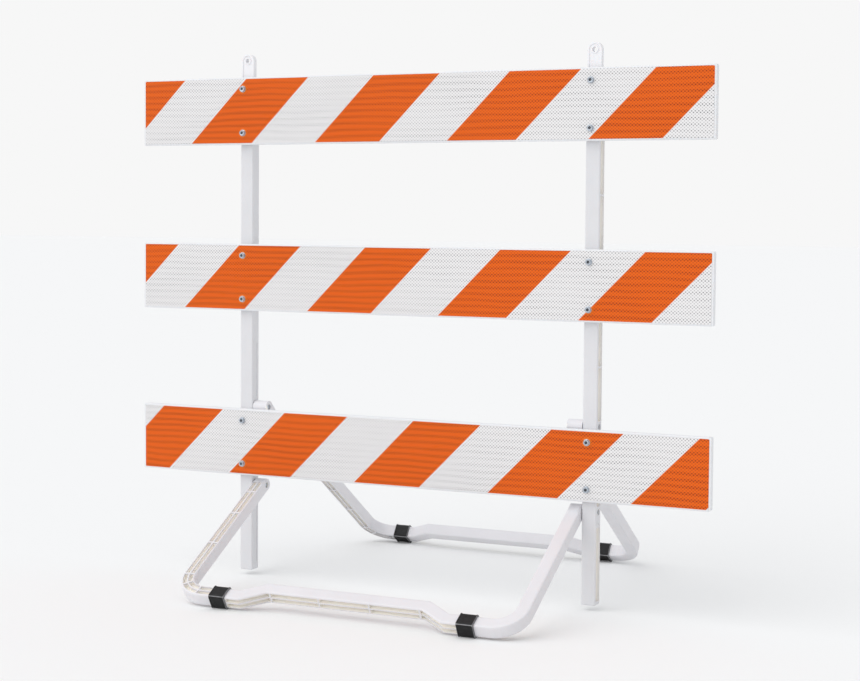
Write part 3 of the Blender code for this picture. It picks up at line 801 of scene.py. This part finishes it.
def flangedHex(bore, flats, flange, neck, height):
    # rows of height and radius: a round flange, and on it a hexagon with a chamfered top
    corner = flats / math.sqrt(3)
    edge, soften = hardware["flangeEdge"], hardware["soften"]
    rows = [(0.0, bore), (0.0, flange - soften), (soften, flange), (edge - soften, flange)]
    rows += [(edge, flange - hardware["flangeDrop"]), (hardware["neckTop"], corner + neck)]
    rows += [(hardware["hexFoot"], hexBand(flats, corner))]
    rows += [(height - below, hexBand(flats, corner - off)) for below, off in hardware["crown"]]
    return rows


def threadBand(height, deep):
    # the thread winds once round the shank in each pitch
    def radiusAt(angle):
        turns = height / hardware["threadPitch"] - angle / (2 * math.pi)
        return hardware["shank"] / 2 - deep * abs(turns % 1.0 * 2 - 1)
    return radiusAt


def threadRings(foot, around):
    # from the top of the thread down to its foot
    fadeRings = hardware["threadFade"]
    steps = round(hardware["thread"] / hardware["threadPitch"] * hardware["threadSteps"])
    rings = []
    for k in range(steps, -1, -1):
        h = hardware["thread"] * k / steps
        deep = hardware["threadDepth"] * min(1.0, k / fadeRings, (steps - k) / fadeRings)
        rings.append(latheRing(threadBand(h, deep), foot + h, around))
    return rings


def boltShape(height, tail):
    # the head stands along +Z from its seat at 0, the shank runs to -tail
    flats, shank = hardware["hexFlats"], hardware["shank"] / 2
    dish, dishFloor = hardware["dish"], height - hardware["dishDepth"]
    profile = flangedHex(shank, flats, hardware["flange"] / 2, hardware["boltNeck"], height)
    profile += [(height, flats / 2 - hardware["dishLip"]), (height - hardware["soften"], dish)]
    profile += [(dishFloor, dish * hardware["dishTaper"])]
    profile += [(dishFloor - hardware["soften"], hardware["dishCentre"])]
    head = joinRings(latheRings(profile, hardware["around"]), False, True)
    around = hardware["around"] // 2
    foot = -tail + hardware["tip"]
    shaft = latheRings([(0.0, shank), (foot + hardware["thread"], shank)], around)
    tip = latheRings([(-tail, shank - hardware["tip"])], around)
    return mergeParts(head, joinRings(shaft + threadRings(foot, around) + tip, True, True))


def nutShape(height):
    bore = hardware["shank"] / 2 + hardware["boreGap"]
    profile = flangedHex(bore, hardware["nutFlats"], hardware["nutFlange"] / 2, 0.0, height)
    chamfer = hardware["boreChamfer"]
    profile += [(height, bore + chamfer), (height - chamfer, bore), (0.0, bore)]
    return joinRings(latheRings(profile, hardware["around"]))


def layAlong(way, shape, spot, turn):
    # a shape made along +Z is laid along -Y (way -1) or +Y (way 1) at its spot
    facing = Matrix.Scale(-way, 4, (0.0, 1.0, 0.0)) @ Matrix.Rotation(math.radians(90), 4, "X")
    matrix = Matrix.Translation(spot) @ facing @ Matrix.Rotation(turn, 4, "Z")
    verts, faces = shape
    return [matrix @ Vector(v) for v in verts], faces


def paintDishShade(bolt, x, faceY, z):
    # painted shade: the floor of the dish takes the bolt's second, darker material
    share, least = hardware["dishShadeSpan"]
    for face in bolt.data.polygons:
        spot = face.center
        near = math.hypot(spot.x - x, spot.z - z) < hardware["dish"] * share
        face.material_index = 1 if near and spot.y < faceY - least else 0


def makeFastener(key, turn, faceY, shader, dishShade):
    low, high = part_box("bolt_" + key)
    x, _, z = middleOf("bolt_" + key)
    shape = boltShape(faceY - low[1], high[1] - faceY)
    shape = layAlong(-1, shape, (x, faceY, z), turn)
    smooth = hardware["smooth"]
    bolt = newPiece("bolt_head_" + key, shape, "frame", ["bolt_" + key], smooth)
    bolt.data.materials.append(shader.material)
    bolt.data.materials.append(dishShade.material)
    paintDishShade(bolt, x, faceY, z)
    low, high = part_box("nut_" + key)
    shape = layAlong(1, nutShape(high[1] - low[1]), (x, low[1], z), hardware["nutTurn"] + turn)
    nut = newPiece("flange_nut_" + key, shape, "frame", ["nut_" + key], smooth)
    nut.data.materials.append(shader.material)


def makeFasteners(shader, dishShade):
    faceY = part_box("sheeting_top")[0][1] - hardware["soften"]
    places = itertools.product(("top", "middle", "bottom"), ("upper", "lower"), ("left", "right"))
    for index, place in enumerate(places):
        makeFastener("_".join(place), index * hardware["boltTurn"], faceY, shader, dishShade)


steel = steelFinish("zincSteel", hardware["color"], hardware["worn"])
makeFasteners(steel, steelFinish("dishPaintedShade", hardware["dishShadeColor"], hardware["dishShadeWorn"]))
dress([n for n in frame["nodes"] if n.startswith(("pin_", "cap_", "washer_"))], steel)
print("hardware made")
